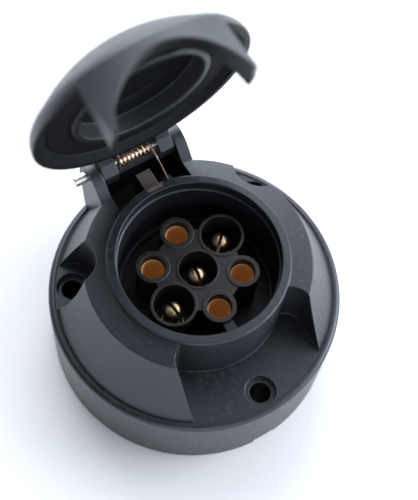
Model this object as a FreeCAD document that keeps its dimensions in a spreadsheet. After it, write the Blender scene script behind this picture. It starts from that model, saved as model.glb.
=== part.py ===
import FreeCAD, Part
import Sketcher
import math
import os

# Trailer socket with a spring lid, standing upright and open, in millimetres.
# Z is the axis of the bore, with the mouth up and z = 0 under the base. The hinge is
# at +Y with its pin along X, and the lid stands open on that side. The front is -Y.

V = FreeCAD.Vector
Placement = FreeCAD.Placement
Rotation = FreeCAD.Rotation
doc = FreeCAD.newDocument("trailer_socket")

# ---------------------------------------------------------------- driving dimensions
# alias, value, what it is; _r is a radius, _x, _y and _z are places along the axes
SIZES = [
    ("bore_r", 20.75, "mouth of the bore"),
    ("low_bore_r", 20.4, "bore below the step"),
    ("collar_r", 23.1, "outside of the collar"),
    ("mouth_z", 45.5, "top of the collar"),
    ("step_z", 42.0, "step in the bore"),
    ("shoulder_z", 42.8, "shoulder outside the collar"),
    ("foot_r", 36.6, "foot of the flank"),
    ("base_r", 38.66, "outside of the base"),
    ("ledge_in_r", 36.95, "inner edge of the ledge round the base"),
    ("ledge_z", 25.3, "top of the base"),
    ("floor_z", 25.0, "floor of the scoops"),
    ("cavity_r", 36.2, "base cavity"),
    ("web_z", 22.5, "underside of the floor"),
    ("web_r", 19.6, "opening for the contacts"),
    ("hole_circle_r", 32.5, "circle of the mounting holes"),
    ("hole_r", 2.75, "mounting holes"),
    ("counterbore_r", 4.0, "counterbores"),
    ("pocket_r", 7.0, "screwdriver pockets"),
    ("hinge_y", 33.8, "hinge axis"),
    ("hinge_z", 44.6, "hinge axis"),
    ("pin_r", 1.15, "hinge pin"),
    ("ear_r", 3.2, "reach of the ears behind the hinge axis"),
    ("ear_in_x", 10.5, "inside of the ears"),
    ("ear_width", 3.0, "ear width"),
    ("lid_angle", 81.5, "lid angle from closed"),
    ("lid_r", 28.5, "lid"),
    ("rim_z", 44.0, "lid rim when closed"),
    ("arch_r", 16.5, "arch in the beak"),
    ("contact_circle_r", 11.45, "contact circle"),
    ("carrier_top_z", 37.9, "top of the contact carrier"),
    ("carrier_turn", -2.5, "seat angle of the carrier"),
    ("barrel_r", 3.1, "contact barrel"),
    ("male_r", 2.5, "male contact"),
    ("male_tip_z", 35.2, "male tip"),
    ("female_mouth_z", 35.7, "female mouth"),
    ("screw_circle_r", 25.6, "carrier screws"),
    ("flange_z", 19.5, "underside of the carrier flange"),
]


class Dimensions:
    """The driving dimensions, one attribute for each alias."""


dim = Dimensions()
sheet = doc.addObject("Spreadsheet::Sheet", "params")
for row, (alias, value, meaning) in enumerate(SIZES, 1):
    sheet.set("A%d" % row, alias)
    sheet.set("B%d" % row, str(value))
    sheet.set("C%d" % row, meaning)
    sheet.setAlias("B%d" % row, alias)
    setattr(dim, alias, value)
doc.recompute()

HOLE_ANGLES = (-90, 30, 150)
POCKET_ANGLES = (("l", 150), ("r", 30))
SCREW_ANGLES = (("a", dim.carrier_turn), ("b", 180 + dim.carrier_turn))
BOSS_R = 3.3  # bosses for the carrier screws
SCREW_RISE = 3.2  # terminal screw above the bottom of its contact

# name, whether it is on the contact circle, angle in the carrier,
# direction of the slot in a male tip (None for a female), bottom z
CONTACTS = [
    ("pin_centre", False, 0, 83.0, 5.0),
    ("pin_upper_right", True, 30, 47.5, 12.0),
    ("pin_lower_left", True, -150, 100.0, 12.0),
    ("tube_top", True, 90, None, 12.0),
    ("tube_right", True, -30, None, 12.0),
    ("tube_bottom", True, -90, None, 12.0),
    ("tube_left", True, 150, None, 12.0),
]


# ---------------------------------------------------------------- helpers
def polar(radius, degrees):
    angle = math.radians(degrees)
    return radius * math.cos(angle), radius * math.sin(angle)


def bind(item, prop, value):
    """Sets a property to a number, or binds it to an expression."""
    if isinstance(value, str):
        item.setExpression(prop, value)
    else:
        setattr(item, prop, value)


def drive(sketch, expression, kind, *values):
    """Adds a constraint that follows an expression."""
    index = sketch.addConstraint(Sketcher.Constraint(kind, *values))
    sketch.setExpression("Constraints[%d]" % index, expression)


def new_body(name):
    return doc.addObject("PartDesign::Body", name)


def new_sketch(body, name, plane, offset):
    """Sketch on an origin plane; the offset is a number or an expression."""
    sketch = body.newObject("Sketcher::SketchObject", name)
    role = plane + "_Plane"
    support = [item for item in body.Origin.OriginFeatures if item.Role == role][0]
    sketch.AttachmentSupport = (support, [""])
    sketch.MapMode = "FlatFace"
    if isinstance(offset, str):
        sketch.setExpression("AttachmentOffset.Base.z", offset)
    else:
        sketch.AttachmentOffset = Placement(V(0, 0, offset), Rotation())
    return sketch


def outline(body, name, plane, points, offset=0):
    """Sketch of a closed outline. A point is (x, y) where a line leaves it, or
    (x, y, mid_x, mid_y) where an arc does. Edge i starts at point i."""
    sketch = new_sketch(body, name, plane, offset)
    for i, point in enumerate(points):
        start = V(*point[:2])
        end = V(*points[(i + 1) % len(points)][:2])
        if len(point) > 2:
            sketch.addGeometry(Part.Arc(start, V(*point[2:]), end), False)
        else:
            sketch.addGeometry(Part.LineSegment(start, end), False)
    return sketch


def circles(body, name, plane, places, offset=0, radius=None):
    """Sketch of circles (x, y, radius); an expression for the radius may drive them."""
    sketch = new_sketch(body, name, plane, offset)
    for x, y, drawn in places:
        circle = sketch.addGeometry(Part.Circle(V(x, y, 0), V(0, 0, 1), drawn), False)
        if radius:
            drive(sketch, radius, "Radius", circle, drawn)
        else:
            sketch.addConstraint(Sketcher.Constraint("Radius", circle, drawn))
    return sketch


def rectangle(x0, x1, y0, y1):
    return [(x0, y0), (x1, y0), (x1, y1), (x0, y1)]


def revolve(body, sketch, name, axis="V_Axis"):
    feature = body.newObject("PartDesign::Revolution", name)
    feature.Profile = sketch
    feature.ReferenceAxis = (sketch, [axis])
    feature.Angle = 360
    doc.recompute()


def pad(body, sketch, length):
    feature = body.newObject("PartDesign::Pad", sketch.Name + "_pad")
    feature.Profile = sketch
    bind(feature, "Length", length)
    doc.recompute()


def pocket(body, sketch, length, along_normal=False, name=None):
    """Cuts against the normal of the sketch, or along it."""
    before = body.Shape.Volume
    feature = body.newObject("PartDesign::Pocket", name or sketch.Name + "_cut")
    feature.Profile = sketch
    feature.Length = length
    feature.Reversed = along_normal
    doc.recompute()
    if not body.Shape.Volume < before - 1e-6:
        raise RuntimeError("%s removes nothing" % feature.Name)


def hinge_bore(body, name, radius, expression):
    """Bores a body along the hinge axis."""
    y, z = dim.hinge_y, dim.hinge_z
    sketch = circles(body, name, "YZ", [(y, z, radius)], 20, expression)
    drive(sketch, "params.hinge_y", "DistanceX", -1, 1, 0, 3, y)
    drive(sketch, "params.hinge_z", "DistanceY", -1, 1, 0, 3, z)
    pocket(body, sketch, 40)


def box(name, x_span, y_span, z_span):
    item = doc.addObject("Part::Box", name)
    item.Length = x_span[1] - x_span[0]
    item.Width = y_span[1] - y_span[0]
    item.Height = z_span[1] - z_span[0]
    item.Placement.Base = V(x_span[0], y_span[0], z_span[0])
    return item


def cylinder(name, radius, height, base, axis=(0, 0, 1)):
    """The radius is a number or an expression."""
    item = doc.addObject("Part::Cylinder", name)
    bind(item, "Radius", radius)
    item.Height = height
    item.Placement = Placement(V(*base), Rotation(V(0, 0, 1), V(*axis)))
    return item


def fuse(name, items):
    item = doc.addObject("Part::MultiFuse", name)
    item.Shapes = items
    return item


def cut(name, base, tool):
    item = doc.addObject("Part::Cut", name)
    item.Base = base
    item.Tool = tool
    return item


def turn_with_carrier(item, angle, circle=None, z=0.0):
    """Turns an item to an angle in the carrier and, given the alias of a circle's
    radius, stands it on that circle."""
    turned = angle + dim.carrier_turn
    x, y = polar(getattr(dim, circle), turned) if circle else (0, 0)
    item.Placement = Placement(V(x, y, z), Rotation(V(0, 0, 1), turned))
    angle_text = "%g + params.carrier_turn" % angle
    item.setExpression(".Placement.Rotation.Angle", angle_text)
    if circle:
        for axis, function in (("x", "cos"), ("y", "sin")):
            place = "params.%s * %s((%s) * 1 deg)" % (circle, function, angle_text)
            item.setExpression(".Placement.Base." + axis, place)


pieces = []


def finish(item, label):
    item.Label = label
    pieces.append(item)


# ---------------------------------------------------------------- housing
def housing_shell(body):
    """The turned shell; x is the radius."""
    base, ledge, floor = dim.base_r, dim.ledge_z, dim.floor_z
    collar, mouth, bore = dim.collar_r, dim.mouth_z, dim.bore_r
    sketch = outline(body, "housing_profile", "XZ", [
        (dim.cavity_r, 0),
        (base - 0.3, 0),
        (base, 0.3),
        (base, ledge - 1.4, base - 0.41, ledge - 0.41),
        (base - 1.4, ledge),
        (dim.ledge_in_r, ledge),
        (dim.ledge_in_r, floor),
        (dim.foot_r, floor, 32.45, 33.6),
        (28.98, 42.45),
        (28.92, 42.66),
        (28.7, dim.shoulder_z + 0.02),
        (collar + 0.25, 43.5, collar + 0.07, 43.57),
        (collar, 43.75),
        (collar, mouth - 0.45, collar - 0.13, mouth - 0.13),
        (collar - 0.45, mouth),
        (bore + 0.2, mouth, bore + 0.06, mouth - 0.06),
        (bore, mouth - 0.2),
        (bore, dim.step_z),
        (dim.low_bore_r, dim.step_z - 0.1),
        (dim.low_bore_r, floor),
        (dim.web_r, floor),
        (dim.web_r, dim.web_z),
        (dim.cavity_r, dim.web_z),
    ])
    drive(sketch, "params.cavity_r", "DistanceX", -1, 1, 0, 1, dim.cavity_r)
    drive(sketch, "params.bore_r", "DistanceX", -1, 1, 17, 1, bore)
    drive(sketch, "params.step_z", "DistanceY", -1, 1, 17, 1, dim.step_z)
    drive(sketch, "params.base_r", "DistanceX", -1, 1, 2, 1, base)
    revolve(body, sketch, "housing_shell")


def housing_scoops(body):
    """Front scoop, the pockets over the two holes at +Y, and the recess at the hinge."""
    collar, outer = dim.collar_r, dim.ledge_in_r
    inner_x, outer_x = 15.5, 19.0
    inner_y = -math.sqrt(collar ** 2 - inner_x ** 2)
    outer_y = -math.sqrt(outer ** 2 - outer_x ** 2)
    sketch = outline(body, "scoop_front", "XY", [
        (-outer_x, outer_y),
        (-outer_x, -22.7, -18.1, -19.0),
        (-inner_x, inner_y, 0, -collar),
        (inner_x, inner_y, 18.1, -19.0),
        (outer_x, -22.7),
        (outer_x, outer_y, 0, -outer),
    ], "params.floor_z")
    pocket(body, sketch, 25, True)

    # each pocket is centred on its hole and ends at the ledge
    circle, radius = dim.hole_circle_r, dim.pocket_r
    cosine = (outer ** 2 + circle ** 2 - radius ** 2) / (2 * outer * circle)
    half = math.degrees(math.acos(cosine))
    for side, angle in POCKET_ANGLES:
        sketch = outline(body, "scoop_" + side, "XY", [
            polar(outer, angle - half) + polar(outer, angle),
            polar(outer, angle + half) + polar(circle - radius, angle),
        ], "params.floor_z")
        pocket(body, sketch, 25, True)

    half_width, recess_r, back = dim.ear_in_x, collar + 0.2, 45
    y = math.sqrt(recess_r ** 2 - half_width ** 2)
    sketch = outline(body, "recess", "XY", [
        (-half_width, back),
        (-half_width, y, 0, recess_r),
        (half_width, y),
        (half_width, back),
    ], 30)
    pocket(body, sketch, 25, True)


def housing_hinge(body):
    """Ears with the web between them, the pin hole, the rib and the spring seat."""
    y, z = dim.hinge_y, dim.hinge_z
    back = y + dim.ear_r
    for side, x in (("l", -dim.ear_in_x - dim.ear_width), ("r", dim.ear_in_x)):
        sketch = outline(body, "ear_" + side, "YZ", [
            (24.6, 30.0),
            (24.6, 41.1),
            (y - 4.6, z + 1.75, y + 0.3, z + 3.1),
            (y + 2.45, z + 2.25, back, z + 0.2),
            (back, 34.0),
            (35.8, 24.3),
            (30.0, 24.3),
        ], x)
        pad(body, sketch, "params.ear_width")
    sketch = outline(body, "ear_web", "XY", rectangle(-10.6, 10.6, 32.9, 35.6), 24.9)
    pad(body, sketch, 14.6)
    hinge_bore(body, "hinge_hole", dim.pin_r, "params.pin_r")
    sketch = outline(body, "rib", "XY", rectangle(-2.05, 2.05, 21.8, 28.6), 29.8)
    pad(body, sketch, 13.6)
    sketch = outline(body, "leg_seat", "XY", rectangle(3.9, 6.5, 21.4, 25.6), 29.8)
    pad(body, sketch, 11.3)


def housing_posts(body):
    """Posts round the mounting holes and bosses for the carrier screws."""
    places = [polar(dim.hole_circle_r, angle) + (4.4,) for angle in HOLE_ANGLES]
    pad(body, circles(body, "posts", "XY", places), "params.web_z + 0.3")
    places = [polar(dim.screw_circle_r, angle) + (BOSS_R,) for tag, angle in SCREW_ANGLES]
    pad(body, circles(body, "bosses", "XY", places, "params.web_z"), 12.0)


def flank_core():
    """The hollow inside the flank, left solid in front and round hinge, holes and screws."""
    body = new_body("core_body")
    sketch = outline(body, "core_profile", "XZ", [
        (25.4, 20.0),
        (25.4, 40.5),
        (27.2, 40.3, 30.1, 33.4),
        (34.0, 25.0),
        (34.0, 20.0),
    ])
    revolve(body, sketch, "core_ring")
    bottom, height = 15, 45
    z_span = (bottom, bottom + height)
    keepers = [
        box("keep_front", (-21.4, 21.4), (-45, -14.6), z_span),
        box("keep_hinge", (-17.0, 17.0), (16.0, 45), z_span),
    ]
    for side, angle in POCKET_ANGLES:
        base = polar(dim.hole_circle_r, angle) + (bottom,)
        keepers.append(cylinder("keep_k" + side, dim.pocket_r + 2.4, height, base))
    for tag, angle in SCREW_ANGLES:
        base = polar(dim.screw_circle_r, angle) + (bottom,)
        keepers.append(cylinder("keep_b" + tag, BOSS_R, height, base))
    return cut("core", body, fuse("keepers", keepers))


def build_housing():
    body = new_body("housing_body")
    housing_shell(body)
    housing_scoops(body)
    housing_hinge(body)
    housing_posts(body)
    core = flank_core()
    drills = []
    for tag, angle in zip("abc", HOLE_ANGLES):
        place = polar(dim.hole_circle_r, angle)
        seat = place + (dim.floor_z - 1.6,)
        drills.append(cylinder("hole_" + tag, "params.hole_r", 40, place + (-5,)))
        drills.append(cylinder("cbore_" + tag, "params.counterbore_r", 30, seat))
    for tag, angle in SCREW_ANGLES:
        base = polar(dim.screw_circle_r, angle) + (dim.web_z - 0.5,)
        drills.append(cylinder("pilot_" + tag, 1.5, 9.5, base))
    drills.append(box("drain_notch", (-3.2, 3.2), (-45, -34), (-1, 2.0)))
    cored = cut("housing_cored", body, core)
    finish(cut("housing", cored, fuse("drills", drills)), "housing")


# ---------------------------------------------------------------- lid, drawn closed
def lid_shell(body):
    """Domed cap with a ring groove on its underside."""
    radius, rim = dim.lid_r, dim.rim_z
    top, edge_r, edge_z, mid_r = 58.2, 25.5, 48.9, 14.0
    dome_r = (edge_r ** 2 + (top - edge_z) ** 2) / (2 * (top - edge_z))
    mid_z = top - dome_r + math.sqrt(dome_r ** 2 - mid_r ** 2)
    sketch = outline(body, "lid_profile", "XZ", [
        (0, 50.6),
        (10.9, 50.6),
        (11.3, 50.1),
        (16.4, 49.2),
        (16.4, 45.1, 16.5, 44.8),
        (16.8, 44.7),
        (17.7, 44.7, 18.0, 44.8),
        (18.1, 45.1),
        (18.1, 47.0),
        (24.5, 47.0),
        (24.5, 45.7),
        (26.8, rim),
        (radius - 0.35, rim, radius - 0.1, rim + 0.12),
        (radius, rim + 0.5, 27.68, 47.22),
        (edge_r, edge_z, mid_r, mid_z),
        (0, top),
    ])
    drive(sketch, "params.lid_r - 0.35", "DistanceX", -1, 1, 12, 1, radius - 0.35)
    drive(sketch, "params.rim_z", "DistanceY", -1, 1, 12, 1, rim)
    revolve(body, sketch, "lid_shell")


def lid_hinge(body):
    """Two arms with faceted knuckles, the bridge between them and the pin bore."""
    y, z = dim.hinge_y, dim.hinge_z
    knuckle = []
    for angle in range(105, -166, -45):
        across, up = polar(4.4, angle)
        knuckle.append((y + across, z + up))
    arm = [(25.2, 45.9), (25.2, 48.4), (29.3, 48.9)] + knuckle + [(29.2, 44.7), (27.4, 44.9)]
    for side, x in (("l", -10.2), ("r", 6.2)):
        pad(body, outline(body, "arm_" + side, "YZ", arm, x), 4.0)
    half_width = 6.4
    sketch = outline(body, "bridge", "YZ", [
        (26.0, 47.0),
        (26.0, 48.3),
        (29.3, 48.8),
        (y + 0.2, z + 4.0),
        (y + 2.7, z + 2.9),
        (y + 3.1, z + 2.0),
        (y + 2.2, z + 1.8),
        (y + 0.7, 47.0),
    ], -half_width)
    pad(body, sketch, 2 * half_width)
    hinge_bore(body, "lid_bore", dim.pin_r + 0.06, "params.pin_r + 0.06")


def lid_beak():
    """Skirt that carries the dome down over the front scoop, arched between two points."""
    ring = new_body("beak_body")
    sketch = outline(ring, "beak_profile", "XZ", [
        (24.7, 30.4),
        (24.7, 45.3),
        (27.4, 47.0),
        (28.6, 46.7, 29.1, 46.1),
        (29.3, 45.2, 30.1, 39.5),
        (31.9, 31.0),
        (31.6, 30.4),
    ])
    revolve(ring, sketch, "beak_ring")
    plan = new_body("beak_plan_body")
    left = [(-17.0, -18.7), (-17.5, -21.5), (-16.9, -29.0), (-16.4, -40.0)]
    right = [(-x, y) for x, y in reversed(left)]
    pad(plan, outline(plan, "beak_plan", "XY", left + right, 20), 30)

    radius, arch_y, arch_z = dim.arch_r, -15, 26.8
    arch = cylinder("arch_round", "params.arch_r", 30, (0, arch_y, arch_z), (0, -1, 0))
    foot = box("arch_foot", (-radius, radius), (-45, arch_y), (15, arch_z))
    foot.setExpression("Length", "2 * params.arch_r")
    sector = doc.addObject("Part::MultiCommon", "beak_sector")
    sector.Shapes = [ring, plan]
    return cut("beak", sector, fuse("arch", [arch, foot]))


def open_lid(item):
    """Turns a piece drawn closed about the hinge axis."""
    angle = "params.lid_angle"
    y, z = "params.hinge_y", "params.hinge_z"
    cosine = "cos(%s * 1 deg)" % angle
    sine = "sin(%s * 1 deg)" % angle
    swing = Rotation(V(-1, 0, 0), dim.lid_angle)
    item.Placement = Placement(V(0, 0, 0), swing, V(0, dim.hinge_y, dim.hinge_z))
    item.setExpression(".Placement.Rotation.Angle", angle)
    item.setExpression(".Placement.Base.y", f"{y} - {y} * {cosine} - {z} * {sine}")
    item.setExpression(".Placement.Base.z", f"{z} + {y} * {sine} - {z} * {cosine}")


def build_lid():
    body = new_body("lid_body")
    lid_shell(body)
    lid_hinge(body)
    lid = fuse("lid", [body, lid_beak()])
    open_lid(lid)
    finish(lid, "lid")


def build_seal():
    """Sealing ring in the groove of the lid."""
    body = new_body("seal_body")
    sketch = outline(body, "seal_profile", "XZ", [
        (18.4, 47.0),
        (18.4, 45.85, 18.5, 45.65),
        (18.7, 45.55),
        (23.9, 45.55, 24.1, 45.65),
        (24.2, 45.85),
        (24.2, 47.0),
    ])
    revolve(body, sketch, "seal_ring")
    open_lid(body)
    finish(body, "lid_seal")


# ---------------------------------------------------------------- hinge pin and spring
def build_hinge_pin():
    """Pin turned about X, with a slotted head at -X."""
    radius, head_r = dim.pin_r, 1.45
    body = new_body("pin_body")
    sketch = outline(body, "pin_profile", "XY", [
        (-17.0, 0),
        (-17.0, 1.2),
        (-16.75, head_r),
        (-13.75, head_r),
        (-13.65, radius),
        (14.0, radius),
        (14.3, radius - 0.3),
        (14.3, 0),
    ])
    revolve(body, sketch, "pin_turned", "H_Axis")
    slot = box("pin_slot", (-17.2, -13.9), (-1.8, -0.75), (0.25, 0.55))
    pin = cut("hinge_pin", body, slot)
    pin.Placement = Placement(V(0, dim.hinge_y, dim.hinge_z), Rotation())
    pin.setExpression(".Placement.Base.y", "params.hinge_y")
    pin.setExpression(".Placement.Base.z", "params.hinge_z")
    finish(pin, "hinge_pin")


def build_spring():
    """Torsion spring wound round the pin; the -X leg bears on the lid, the +X leg lies
    on the seat behind the collar."""
    turns, coil_r, wire_r, half_length = 8.822, 1.6, 0.33, 5.0
    length = 2 * half_length
    pitch = length / turns
    lid_end = V(-5.25, 31.9, 51.2)
    seat_end = V(5.2, 24.3, 41.1 + wire_r / math.cos(math.radians(27)) + 0.02)
    to_x = Rotation(V(0, 0, 1), V(1, 0, 0))
    along_hinge = Placement(V(-half_length, dim.hinge_y, dim.hinge_z), to_x).multiply(
        Placement(V(0, 0, 0), Rotation(V(0, 0, 1), -90)))
    helix = Part.makeHelix(pitch, length, coil_r)
    section = Part.Wire([Part.Circle(V(coil_r, 0, 0), V(0, 1, 0), wire_r).toShape()])
    spring = Part.Wire(helix.Edges).makePipeShell([section], True, False)
    spring.transformShape(along_hinge.toMatrix())
    for turn, end in ((0.0, lid_end), (turns, seat_end)):
        start = along_hinge.multVec(V(*polar(coil_r, 360.0 * turn), pitch * turn))
        leg = end - start
        spring = spring.fuse(Part.makeCylinder(wire_r, leg.Length, start, leg))
        spring = spring.fuse(Part.makeSphere(wire_r + 0.02, start))
    item = doc.addObject("Part::Feature", "hinge_spring")
    item.Shape = spring.Solids[0]
    finish(item, "hinge_spring")


# ---------------------------------------------------------------- contact carrier
def build_carrier():
    body = new_body("carrier_body")
    circle, ear_r, flange_r = dim.screw_circle_r, 3.5, 22.9
    x = math.sqrt(flange_r ** 2 - ear_r ** 2)
    sketch = outline(body, "flange", "XY", [
        (x, ear_r, 0, flange_r),
        (-x, ear_r),
        (-circle, ear_r, -circle - ear_r, 0),
        (-circle, -ear_r),
        (-x, -ear_r, 0, -flange_r),
        (x, -ear_r),
        (circle, -ear_r, circle + ear_r, 0),
        (circle, ear_r),
    ], "params.flange_z")
    pad(body, sketch, "params.web_z - params.flange_z")

    def at_contacts(radius, female):
        """Circles at the contacts of one kind on the contact circle."""
        return [polar(dim.contact_circle_r, angle) + (radius,)
                for name, on_circle, angle, slot, bottom in CONTACTS
                if on_circle and (slot is None) == female]

    # the raised parts start inside the flange
    start = dim.web_z - 0.5
    height = dim.carrier_top_z - start
    pad(body, circles(body, "web", "XY", [(0, 0, 11.2)], start), height - 0.3)
    places = at_contacts(4.35, True) + at_contacts(5.95, False)
    pad(body, circles(body, "bosses_female", "XY", places, start), height)
    pad(body, circles(body, "boss_centre", "XY", [(0, 0, 5.42)], start), height)
    sketch = outline(body, "key", "XY", rectangle(-1.4, 1.4, -18.4, -14.6), start)
    pad(body, sketch, 37.0 - start)

    # cuts from 1 mm above the top
    barrel_r = dim.barrel_r
    above = dim.carrier_top_z + 1
    cuts = [  # name, circles, depth, expression for the radius
        ("recess_male", at_contacts(5.2, False), above - 26.0, None),
        ("recess_centre", [(0, 0, 4.95)], above - 26.0, None),
        ("seats", [(0, 0, barrel_r)] + at_contacts(barrel_r, True)
         + at_contacts(barrel_r, False), 30, "params.barrel_r"),
        ("mouths", at_contacts(barrel_r + 0.12, True), above - dim.female_mouth_z + 0.4, None),
    ]
    for name, places, depth, radius in cuts:
        sketch = circles(body, name, "XY", places, "params.carrier_top_z + 1", radius)
        pocket(body, sketch, depth)
    places = [(circle, 0, 1.7), (-circle, 0, 1.7)]
    pocket(body, circles(body, "flange_holes", "XY", places, dim.web_z + 1), 6)
    turn_with_carrier(body, 0)
    finish(body, "contact_carrier")


# ---------------------------------------------------------------- contacts
def build_contact(name, on_circle, angle, slot, bottom):
    """A contact drawn on its own axis, with the hole for its terminal screw at +X."""
    body = new_body("contact_" + name)
    barrel, male = dim.barrel_r, dim.male_r
    points = [(0, bottom), (barrel - 0.2, bottom), (barrel, bottom + 0.2)]
    if slot is None:
        top, socket_r = dim.female_mouth_z, 2.62
        points += [
            (barrel, top - 0.25, barrel - 0.07, top - 0.07),
            (barrel - 0.25, top),
            (2.76, top),
            (socket_r, top - 0.2),
            (socket_r, 25.4),
            (0, 24.0),
        ]
    else:
        top, step = dim.male_tip_z, 26.5
        points += [
            (barrel, step - 0.2),
            (barrel - 0.2, step),
            (male, step),
            (male, top - 1.6, male * 0.78, top - 0.55),
            (0.5, top),
            (0, top),
        ]
    revolve(body, outline(body, name + "_profile", "XZ", points), name + "_turned")
    if slot is not None:
        along, across = polar(1, slot - angle)
        corners = [(x * along - y * across, x * across + y * along)
                   for x, y in rectangle(-3.2, 3.2, -0.42, 0.42)]
        sketch = outline(body, name + "_slot", "XY", corners, "params.male_tip_z + 1")
        pocket(body, sketch, 1 + 5.6)
    sketch = circles(body, name + "_wire", "XY", [(0, 0, 1.8)], bottom - 1)
    pocket(body, sketch, 1 + 6.2, True)
    sketch = circles(body, name + "_tap", "YZ", [(0, bottom + SCREW_RISE, 1.25)])
    pocket(body, sketch, 6, True)
    turn_with_carrier(body, angle, "contact_circle_r" if on_circle else None)
    finish(body, "contact_" + name)


def build_terminal_screw(name, on_circle, angle, bottom):
    """The terminal screw of a contact, drawn along +X with its slot at the +X end."""
    body = new_body("screw_" + name)
    sketch = outline(body, name + "_screw_profile", "XY", [
        (1.95, 0),
        (1.95, 0.9),
        (2.3, 1.25),
        (3.25, 1.25),
        (3.25, 2.1),
        (4.7, 2.1, 4.93, 2.03),
        (5.0, 1.8),
        (5.0, 0),
    ])
    revolve(body, sketch, name + "_screw_turned", "H_Axis")
    slot = rectangle(-3, 3, -0.3, 0.3)
    pocket(body, outline(body, name + "_screw_slot", "YZ", slot, 6), 1 + 0.9)
    circle = "contact_circle_r" if on_circle else None
    turn_with_carrier(body, angle, circle, bottom + SCREW_RISE)
    finish(body, "terminal_screw_" + name)


def build_carrier_screw(tag, angle):
    """Screw up through the carrier flange, with a cross drive in its head."""
    body = new_body("carrier_screw_body_" + tag)
    seat, head_r, shank_r = dim.flange_z, 2.8, 1.5
    sketch = outline(body, "carrier_screw_profile_" + tag, "XZ", [
        (0, seat - 2.0),
        (2.2, seat - 2.0, 2.68, seat - 1.75),
        (head_r, seat - 1.2),
        (head_r, seat),
        (shank_r, seat),
        (shank_r, seat + 9.5),
        (1.1, seat + 10.4),
        (0, seat + 10.4),
    ])
    revolve(body, sketch, "carrier_screw_turned_" + tag)
    for i, (x, y) in enumerate(((1.7, 0.28), (0.28, 1.7))):
        slot = rectangle(-x, x, -y, y)
        sketch = outline(body, "drive_%s_%d" % (tag, i), "XY", slot, seat - 3)
        pocket(body, sketch, 1 + 1.2, True, "drive_cut_%s_%d" % (tag, i))
    turn_with_carrier(body, angle, "screw_circle_r")
    finish(body, "carrier_screw_" + tag)


# ---------------------------------------------------------------- build and export
build_housing()
build_lid()
build_seal()
build_hinge_pin()
build_spring()
build_carrier()
for name, on_circle, angle, slot, bottom in CONTACTS:
    build_contact(name, on_circle, angle, slot, bottom)
    build_terminal_screw(name, on_circle, angle, bottom)
build_carrier_screw("a", 0)
build_carrier_screw("b", 180)

doc.recompute()
for item in doc.Objects:
    if "Invalid" in item.State or "Error" in item.State:
        raise RuntimeError("%s is %s" % (item.Label, item.State))
os.makedirs("parts", exist_ok=True)
for piece in pieces:
    if piece.Shape.isNull() or not piece.Shape.isValid():
        raise RuntimeError("%s has no valid shape" % piece.Label)
    piece.Shape.exportStep("parts/%s.step" % piece.Label)
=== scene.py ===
"""Looks for a round pin connector with a sprung, hinged lid.

Metres, +Z up. The pins' axis is Z. The hinge runs along X on the +Y side, and
the lid stands open on it. This adds the materials, floor, camera and lights.
"""
import bpy, bmesh, math, random
from mathutils import Matrix, Vector


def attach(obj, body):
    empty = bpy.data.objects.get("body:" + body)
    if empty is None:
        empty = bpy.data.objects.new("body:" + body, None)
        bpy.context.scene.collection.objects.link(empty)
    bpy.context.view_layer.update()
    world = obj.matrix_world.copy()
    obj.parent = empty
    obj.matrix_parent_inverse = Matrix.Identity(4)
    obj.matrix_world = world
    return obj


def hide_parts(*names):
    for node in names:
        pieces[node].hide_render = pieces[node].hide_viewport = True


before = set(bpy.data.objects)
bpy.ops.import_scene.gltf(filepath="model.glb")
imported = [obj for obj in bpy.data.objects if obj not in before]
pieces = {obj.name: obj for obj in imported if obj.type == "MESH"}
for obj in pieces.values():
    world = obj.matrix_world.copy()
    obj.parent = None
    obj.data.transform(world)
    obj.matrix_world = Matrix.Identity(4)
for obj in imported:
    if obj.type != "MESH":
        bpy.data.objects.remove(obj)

random.seed(7)
scene = bpy.context.scene
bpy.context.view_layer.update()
MM = 0.001

# Lid: how far it is swung open, and where the hinge axis lies
LID_ANGLE = math.radians(81.5)
HINGE_Y, HINGE_Z = 0.0338, 0.0446

# Spring leg that rests on the lid: a straight wire from its foot to its tip
LEG_FOOT = Vector((-0.0050, 0.0322, HINGE_Z))
LEG_TIP = Vector((-0.00525, 0.0319, 0.0512))
LEG_REACH = 0.00045     # faces nearer the leg's line than this belong to it
LEG_START = 0.08        # share of the leg's length left with the coil


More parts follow.
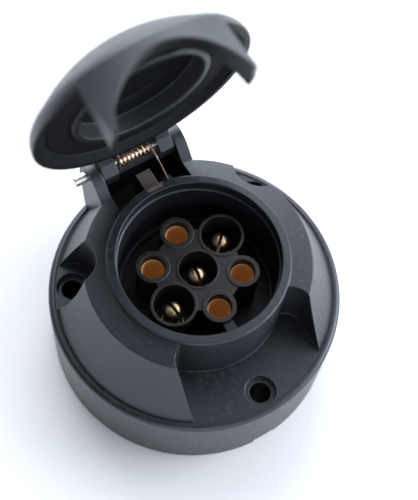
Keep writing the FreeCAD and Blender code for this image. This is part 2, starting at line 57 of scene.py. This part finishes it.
# ------------------------------------------------------------------ node graphs
class Graph:
    """An emptied node tree, with short ways to add and wire nodes."""

    def __init__(self, owner):
        owner.use_nodes = True
        self.tree = owner.node_tree
        for node in list(self.tree.nodes):
            self.tree.nodes.remove(node)

    def node(self, kind, **settings):
        node = self.tree.nodes.new("ShaderNode" + kind)
        for key, value in settings.items():
            setattr(node, key, value)
        return node

    def feed(self, socket, value):
        """Link a socket into this one, or set it to a constant."""
        if isinstance(value, bpy.types.NodeSocket):
            self.tree.links.new(value, socket)
        elif socket.type == "RGBA":
            socket.default_value = (*value, 1)
        else:
            socket.default_value = value

    def math(self, operation, a, b=None, clamp=False):
        node = self.node("Math", operation=operation, use_clamp=clamp)
        self.feed(node.inputs[0], a)
        if b is not None:
            self.feed(node.inputs[1], b)
        return node.outputs[0]

    def add(self, a, b):
        return self.math("ADD", a, b)

    def multiply(self, a, b, clamp=False):
        return self.math("MULTIPLY", a, b, clamp)

    def invert(self, value):
        return self.math("SUBTRACT", 1.0, value)

    def dot(self, a, b):
        node = self.node("VectorMath", operation="DOT_PRODUCT")
        self.feed(node.inputs[0], a)
        self.feed(node.inputs[1], b)
        return node.outputs["Value"]

    def split(self, vector):
        node = self.node("SeparateXYZ")
        self.feed(node.inputs[0], vector)
        return node.outputs

    def step(self, value, zero_at, one_at):
        """0 at zero_at, 1 at one_at, smooth between."""
        node = self.node("MapRange", interpolation_type="SMOOTHSTEP")
        self.feed(node.inputs["From Min"], zero_at)
        self.feed(node.inputs["From Max"], one_at)
        self.feed(node.inputs["Value"], value)
        return node.outputs["Result"]

    def mix(self, factor, a, b):
        node = self.node("Mix", data_type="RGBA")
        for index, value in ((0, factor), (6, a), (7, b)):
            self.feed(node.inputs[index], value)
        return node.outputs[2]

    def ramp(self, factor, *stops):
        """Two stops, each a position and a colour or grey level."""
        node = self.node("ValToRGB")
        for element, (position, value) in zip(node.color_ramp.elements, stops):
            rgb = value if isinstance(value, tuple) else (value,) * 3
            element.position = position
            element.color = (*rgb, 1)
        self.feed(node.inputs["Fac"], factor)
        return node.outputs["Color"]

    def noise(self, vector, scale, detail=3.0, rough=0.5, kind="TexNoise", output="Fac"):
        node = self.node(kind)
        self.feed(node.inputs["Scale"], scale)
        self.feed(node.inputs["Detail"], detail)
        self.feed(node.inputs["Roughness"], rough)
        self.feed(node.inputs["Vector"], vector)
        return node.outputs[output]


class Material(Graph):
    """A new material with one Principled shader."""

    def __init__(self, name):
        self.data = bpy.data.materials.new(name)
        super().__init__(self.data)
        output = self.node("OutputMaterial")
        self.shader = self.node("BsdfPrincipled")
        self.feed(output.inputs["Surface"], self.shader.outputs["BSDF"])

    def set(self, name, value):
        self.feed(self.shader.inputs[name], value)

    def source(self, name):
        """The socket that feeds a shader input now."""
        return self.shader.inputs[name].links[0].from_socket

    def coords(self):
        return self.node("TexCoord").outputs["Object"]

    def bevel(self, radius, samples):
        node = self.node("Bevel", samples=samples)
        self.feed(node.inputs["Radius"], radius)
        return node.outputs["Normal"]

    def bump(self, height, strength, distance, normal):
        node = self.node("Bump")
        for name, value in (("Strength", strength), ("Distance", distance),
                            ("Height", height), ("Normal", normal)):
            self.feed(node.inputs[name], value)
        self.set("Normal", node.outputs["Normal"])


# ------------------------------------------------------------------ base materials
def plastic(name, dark, light, rough, spec, dust, grain=2600.0, grain_height=0.02,
            edge_highlight=(0.30, 0.31, 0.34), edge_highlight_amount=0.35, bevel_radius=0.00035):
    """Grained, mottled plastic with a painted highlight along its edges; grain_height is in mm.
    """
    mat = Material(name)
    co = mat.coords()
    mottle = mat.noise(co, scale=60.0, detail=4, rough=0.6)
    fine = mat.noise(co, scale=grain * 0.35, detail=2)
    colour = mat.ramp(mottle, (0.30, dark), (0.72, light))
    darker = tuple(0.55 * c for c in dark)
    lighter = tuple(1.35 * c for c in light)
    colour = mat.mix(0.35, colour, mat.ramp(fine, (0.35, darker), (0.65, lighter)))

    # specks of dust on faces that look up
    normal_z = mat.split(mat.node("NewGeometry").outputs["Normal"])["Z"]
    upward = mat.math("POWER", mat.math("MAXIMUM", normal_z, 0.0), 3.0)
    specks = mat.noise(co, scale=900.0, detail=2, rough=0.7)
    specks = mat.ramp(specks, (0.60, 0), (0.72, 1))
    dusty = mat.multiply(mat.multiply(upward, specks), dust, clamp=True)
    colour = mat.mix(dusty, colour, (0.32, 0.31, 0.30))

    # edges, found where the bevelled normal leaves the true one, get a painted highlight,
    # lighter in uneven patches
    bevel = mat.bevel(bevel_radius, samples=6)
    bend = mat.dot(bevel, mat.node("NewGeometry").outputs["Normal"])
    sharp = mat.multiply(mat.invert(bend), 2.6, clamp=True)
    edge_highlight_patches = mat.noise(co, scale=240.0, detail=3, rough=0.6)
    edge_highlight_patches = mat.multiply(mat.ramp(edge_highlight_patches, (0.25, 0.35), (0.7, 1)), edge_highlight_amount)
    colour = mat.mix(mat.multiply(sharp, edge_highlight_patches, clamp=True), colour, edge_highlight)

    mat.set("Base Color", colour)
    mat.set("Roughness", mat.ramp(fine, (0.3, rough - 0.06), (0.7, rough + 0.06)))
    mat.set("Specular IOR Level", spec)

    # relief: fine grain, small cells and slow waviness
    height = mat.noise(co, scale=grain, detail=3, rough=0.6)
    cells = mat.noise(co, scale=grain * 0.5, kind="TexVoronoi", output="Distance")
    height = mat.add(height, mat.multiply(cells, 0.6))
    waves = mat.noise(co, scale=160.0, detail=2)
    height = mat.add(height, mat.multiply(waves, 1.2))
    mat.bump(height, strength=0.35, distance=grain_height * MM, normal=bevel)
    return mat


def metal(name, low, high, rough, streak, scale, bump, stain, stain_amount):
    """Streaked, stained metal; streak scales the noise per axis, bump is in mm."""
    mat = Material(name)
    co = mat.coords()
    mapping = mat.node("Mapping")
    mat.feed(mapping.inputs["Scale"], streak)
    mat.feed(mapping.inputs["Vector"], co)
    streaks = mat.noise(mapping.outputs["Vector"], scale, detail=4, rough=0.65)
    blotches = mat.noise(co, scale=120.0, detail=3, rough=0.6)
    colour = mat.ramp(streaks, (0.3, low), (0.7, high))
    stained = mat.ramp(blotches, (0.45, 0), (0.70, 1))
    colour = mat.mix(mat.multiply(stained, stain_amount), colour, stain)
    mat.set("Base Color", colour)
    mat.set("Metallic", 1.0)
    mat.set("Roughness", mat.ramp(streaks, (0.25, rough - 0.07), (0.75, rough + 0.10)))
    bevel = mat.bevel(0.00015, samples=4)
    mat.bump(streaks, strength=0.5, distance=bump * MM, normal=bevel)
    return mat


# ------------------------------------------------------------------ housing and lid
COOL_TINT = (0.88, 0.94, 1.0)


def housing_nylon():
    """Dark nylon; the top of the rib behind the collar is painted lighter, a painted highlight.
    """
    mat = plastic("housing_nylon", dark=(0.0076, 0.0081, 0.0112),
                  light=(0.0130, 0.0138, 0.0182), rough=0.38, spec=0.66, dust=0.07)
    mat.set("Specular Tint", COOL_TINT)
    # painted highlight: a lighter pinkish grey laid on the top of the rib, standing in for
    # light falling on it
    rib_half_width, rib_front, rib_back, rib_top = 0.0022, 0.0215, 0.0290, 0.04325
    co = mat.coords()
    place = mat.split(co)
    in_x = mat.math("LESS_THAN", mat.math("ABSOLUTE", place["X"]), rib_half_width)
    in_y = mat.multiply(mat.math("GREATER_THAN", place["Y"], rib_front),
                        mat.math("LESS_THAN", place["Y"], rib_back))
    in_z = mat.math("GREATER_THAN", place["Z"], rib_top)
    patchy = mat.add(mat.noise(co, scale=700.0, detail=3, rough=0.6), 0.45)
    in_rib = mat.multiply(mat.multiply(in_x, in_y), in_z)
    rib_painted_highlight = mat.multiply(in_rib, patchy, clamp=True)
    mat.set("Base Color", mat.mix(rib_painted_highlight, mat.source("Base Color"), (0.105, 0.078, 0.082)))
    return mat.data


def lid_nylon():
    """Nylon with painted light making it lighter outside, and painted shade making it dark and
    matt inside.
    """
    spec = 0.66
    mat = plastic("lid_nylon", dark=(0.0080, 0.0084, 0.0112),
                  light=(0.0130, 0.0136, 0.0175), rough=0.38, spec=spec, dust=0.07)
    mat.set("Specular Tint", COOL_TINT)
    sin, cos = math.sin(LID_ANGLE), math.cos(LID_ANGLE)
    tex = mat.node("TexCoord").outputs

    # how far a face looks outwards, and its distance from the closed lid's axis
    facing = mat.dot(tex["Normal"], (0, sin, cos))
    closed_y = mat.add(mat.dot(tex["Object"], (0, cos, -sin)),
                       HINGE_Y - (HINGE_Y * cos - HINGE_Z * sin))
    across = mat.dot(tex["Object"], (1, 0, 0))
    squares = mat.add(mat.multiply(across, across), mat.multiply(closed_y, closed_y))
    radius = mat.math("SQRT", squares)

    # faces that look out of the closed lid get painted light
    outside = mat.step(facing, -0.15, 0.30)
    within_rim = mat.multiply(mat.step(radius, 0.0290, 0.0282), 0.85)
    underside = mat.multiply(mat.step(facing, -0.45, -0.85), within_rim)
    core = mat.step(radius, 0.0249, 0.0243)
    # dark: mask of the painted shade on the lid's underside and middle, left off faces that
    # look out
    dark = mat.multiply(mat.invert(outside), mat.math("MAXIMUM", core, underside))
    # the ring inside is kept mostly out of the painted shade
    ring = mat.multiply(mat.step(radius, 0.0160, 0.0164), mat.step(radius, 0.0186, 0.0182))
    dark = mat.multiply(dark, mat.invert(mat.multiply(ring, 0.75)))

    # painted light colour outside, painted shade colour inside
    plain = mat.source("Base Color")
    painted_light_colour = mat.mix(outside, plain, mat.mix(0.85, plain, (0.066, 0.068, 0.074)))
    painted_shade_colour = mat.mix(0.80, plain, (0.0022, 0.0023, 0.0032))
    mat.set("Base Color", mat.mix(dark, painted_light_colour, painted_shade_colour))
    mat.set("Specular IOR Level", mat.math("SUBTRACT", spec, mat.multiply(dark, 0.56)))
    duller = mat.add(mat.multiply(dark, 0.16), mat.multiply(outside, 0.05))
    mat.set("Roughness", mat.add(mat.source("Roughness"), duller))
    return mat.data


# ------------------------------------------------------------------ other parts
def carrier_nylon():
    return plastic("carrier_nylon", dark=(0.006, 0.006, 0.0065), light=(0.010, 0.010, 0.011),
                   rough=0.44, spec=0.5, dust=0.05, grain=3200, grain_height=0.01,
                   edge_highlight=(0.24, 0.24, 0.25), edge_highlight_amount=0.55, bevel_radius=0.00025).data


def seal_rubber():
    return plastic("seal_rubber", dark=(0.0028, 0.0028, 0.0036), light=(0.0050, 0.0050, 0.0060),
                   rough=0.72, spec=0.12, dust=0.03, grain=1800, grain_height=0.03,
                   edge_highlight=(0.03, 0.03, 0.033), edge_highlight_amount=0.3).data


def pin_brass():
    """Bright brass; the split in each pin is painted dark, a painted shade."""
    mat = metal("pin_brass", low=(0.82, 0.58, 0.31), high=(0.97, 0.79, 0.54), rough=0.31,
                streak=(1, 1, 6), scale=420.0, bump=0.006,
                stain=(0.52, 0.33, 0.15), stain_amount=0.3)
    # painted shade: ambient occlusion darkens the split and other crevices
    occlusion = mat.node("AmbientOcclusion", samples=8, only_local=True)
    mat.feed(occlusion.inputs["Distance"], 0.0009)
    unshaded = mat.ramp(occlusion.outputs["AO"], (0.50, 0), (0.86, 1))
    slot_shade_colour = (0.022, 0.014, 0.008)
    mat.set("Base Color", mat.mix(unshaded, slot_shade_colour, mat.source("Base Color")))
    return mat.data


def tube_brass():
    """Dull, reddish brass, with a faint warm emission that paints light into the deep tube
    bores.
    """
    mat = metal("tube_brass", low=(0.50, 0.25, 0.085), high=(0.68, 0.37, 0.14), rough=0.50,
                streak=(10, 10, 1), scale=300.0, bump=0.010,
                stain=(0.33, 0.15, 0.05), stain_amount=0.45)
    mat.set("Metallic", 0.35)
    # painted light: a faint emission brightens the shaded insides of the tubes
    mat.set("Emission Color", (0.62, 0.27, 0.07))
    mat.set("Emission Strength", 0.07)
    return mat.data


def zinc_pin():
    return metal("zinc_pin", low=(0.78, 0.79, 0.80), high=(0.93, 0.93, 0.91), rough=0.30,
                 streak=(12, 1, 1), scale=400.0, bump=0.008,
                 stain=(0.42, 0.42, 0.40), stain_amount=0.3).data


def spring_wire():
    """Coppery wire; the leg towards its seat is painted dark, a painted shade."""
    mat = metal("spring_wire", low=(0.58, 0.40, 0.28), high=(0.80, 0.60, 0.45), rough=0.28,
                streak=(1, 1, 1), scale=500.0, bump=0.006,
                stain=(0.35, 0.22, 0.15), stain_amount=0.3)
    # painted shade: the wire is darkened at lower Y, where it runs forward of the coil towards
    # its seat
    painted_leg_shade = mat.step(mat.dot(mat.coords(), (0, 1, 0)), 0.0318, 0.0285)
    painted_leg_shade = mat.multiply(painted_leg_shade, 0.90)
    mat.set("Base Color", mat.mix(painted_leg_shade, mat.source("Base Color"), (0.022, 0.019, 0.017)))
    return mat.data


def screw_zinc():
    return metal("screw_zinc", low=(0.55, 0.55, 0.52), high=(0.72, 0.72, 0.68), rough=0.33,
                 streak=(1, 1, 1), scale=350.0, bump=0.008,
                 stain=(0.38, 0.36, 0.30), stain_amount=0.3).data


def dress_pieces():
    """Give every CAD piece its material; return the spring's."""
    by_name = {"housing": housing_nylon(), "lid": lid_nylon(),
               "contact_carrier": carrier_nylon(), "lid_seal": seal_rubber()}
    pin, tube = pin_brass(), tube_brass()
    by_name["hinge_pin"] = zinc_pin()
    by_name["hinge_spring"] = spring_wire()
    screw = screw_zinc()
    for name, piece in pieces.items():
        if name in by_name:
            material = by_name[name]
        elif "contact_tube" in name:
            material = tube
        else:
            material = pin if name.startswith("contact_pin") else screw
        piece.data.materials.clear()
        piece.data.materials.append(material)
    return by_name["hinge_spring"]


spring_material = dress_pieces()


# ------------------------------------------------------------------ spring
# The spring is in two pieces, so that the leg on the lid swings with it.
def on_leg(point):
    axis = LEG_TIP - LEG_FOOT
    along = (point - LEG_FOOT).dot(axis) / axis.length_squared
    return along > LEG_START and (point - LEG_FOOT - axis * along).length < LEG_REACH


def spring_piece(name, is_leg):
    """The leg or the rest of the spring, with its cut ends closed."""
    bm = bmesh.new()
    bm.from_mesh(pieces["hinge_spring"].data)
    unwanted = [f for f in bm.faces if on_leg(f.calc_center_median()) != is_leg]
    bmesh.ops.delete(bm, geom=unwanted, context="FACES")
    bmesh.ops.holes_fill(bm, edges=[e for e in bm.edges if e.is_boundary], sides=0)
    bmesh.ops.recalc_face_normals(bm, faces=bm.faces)
    mesh = bpy.data.meshes.new(name)
    bm.to_mesh(mesh)
    bm.free()
    mesh.materials.append(spring_material)
    piece = bpy.data.objects.new(name, mesh)
    scene.collection.objects.link(piece)
    for polygon in mesh.polygons:
        polygon.use_smooth = True
    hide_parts("hinge_spring")
    return piece


leg = spring_piece("spring_lid_leg", is_leg=True)
coil = spring_piece("spring_coil", is_leg=False)
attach(leg, "lid")
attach(coil, "base")


# ------------------------------------------------------------------ floor
def build_floor():
    bpy.ops.mesh.primitive_plane_add(size=6.0, location=(0, 0, 0))
    floor = bpy.context.object
    floor.name = "floor"
    mat = Material("paper")
    clouds = mat.noise(mat.coords(), scale=9.0)
    mat.set("Base Color", mat.ramp(clouds, (0.3, (0.86, 0.862, 0.875)),
                                   (0.7, (0.90, 0.902, 0.91))))
    mat.set("Roughness", 0.85)
    mat.set("Specular IOR Level", 0.2)
    floor.data.materials.append(mat.data)
    return floor


floor = build_floor()


# ------------------------------------------------------------------ camera
# View direction in degrees; lengths in mm
AZIMUTH, ELEVATION, ROLL = -38.75, 65.271, 8.449
DISTANCE = 291.04
SHIFT_RIGHT, SHIFT_UP = 3.6008, 10.1036
AIM_HEIGHT = 25
FOCAL_LENGTH = 79.2


def build_camera():
    az, el, roll = (math.radians(angle) for angle in (AZIMUTH, ELEVATION, ROLL))
    back = Vector((math.sin(az) * math.cos(el), -math.cos(az) * math.cos(el), math.sin(el)))
    level = Vector((math.cos(az), math.sin(az), 0))
    upright = back.cross(level)
    right = level * math.cos(roll) + upright * math.sin(roll)
    up = -level * math.sin(roll) + upright * math.cos(roll)
    place = back * DISTANCE + right * SHIFT_RIGHT + up * SHIFT_UP + Vector((0, 0, AIM_HEIGHT))

    data = bpy.data.cameras.new("camera")
    camera = bpy.data.objects.new("camera", data)
    scene.collection.objects.link(camera)
    rows = [(right[i], up[i], back[i], place[i] * MM) for i in range(3)]
    camera.matrix_world = Matrix((*rows, (0, 0, 0, 1)))
    data.sensor_fit = "AUTO"
    data.sensor_width = 36.0
    data.lens = FOCAL_LENGTH
    data.clip_start = 0.01
    data.clip_end = 50

    focus = bpy.data.objects.new("focus", None)
    focus.location = (0, 0, 0.034)
    scene.collection.objects.link(focus)
    data.dof.use_dof = True
    data.dof.focus_object = focus
    data.dof.aperture_fstop = 12.0
    scene.camera = camera


build_camera()


# ------------------------------------------------------------------ light
SKY_COLOUR = (0.87, 0.925, 1.0)
SKY_BASE = 0.085
# Soft patches of sky: direction, tightness (a power), strength
SKY_PATCHES = [
    ((0.35, 0.85, 0.40), 3.5, 2.6),
    ((0.88, -0.40, 0.24), 5.0, 5.2),
    ((-0.9, 0.2, 0.20), 6.0, 0.0),
    ((-0.35, -1.0, 0.22), 6.0, 1.8),
    ((0.3, 0.5, 1.0), 8.0, 0.35),
]
# Area lights: name, place, height aimed at on the Z axis, size, watts, colour
AREA_LIGHTS = [
    ("window_back", (0.30, 0.75, 0.60), 0.03, (0.9, 0.7), 7.5, (0.95, 0.97, 1.0)),
    ("window_right", (0.80, -0.30, 0.42), 0.03, (0.6, 0.5), 4.0, (0.92, 0.95, 1.0)),
    ("fill_front", (-0.35, -0.9, 0.5), 0.0, (0.8, 0.5), 1.2, (0.95, 0.97, 1.0)),
]


def build_sky():
    world = bpy.data.worlds.new("soft_room")
    scene.world = world
    graph = Graph(world)
    output = graph.node("OutputWorld")
    background = graph.node("Background")
    view = graph.node("TexCoord").outputs["Generated"]
    sky = SKY_BASE
    for direction, tightness, strength in SKY_PATCHES:
        unit = graph.node("VectorMath", operation="NORMALIZE")
        graph.feed(unit.inputs[0], view)
        toward = graph.dot(unit.outputs[0], Vector(direction).normalized())
        patch = graph.math("POWER", graph.math("MAXIMUM", toward, 0.0), tightness)
        sky = graph.add(graph.multiply(patch, strength), sky)
    graph.feed(background.inputs["Color"], SKY_COLOUR)
    graph.feed(background.inputs["Strength"], sky)
    graph.feed(output.inputs[0], background.outputs[0])


def build_area_light(name, place, aim_height, size, watts, colour):
    data = bpy.data.lights.new(name, "AREA")
    data.shape = "RECTANGLE"
    data.size, data.size_y = size
    data.energy = watts
    data.color = colour
    light = bpy.data.objects.new(name, data)
    scene.collection.objects.link(light)
    light.location = place
    aim = Vector((0, 0, aim_height)) - Vector(place)
    light.rotation_euler = aim.to_track_quat("-Z", "Y").to_euler()


build_sky()
for entry in AREA_LIGHTS:
    build_area_light(*entry)
scene.view_settings.view_transform = "Standard"
scene.view_settings.look = "None"
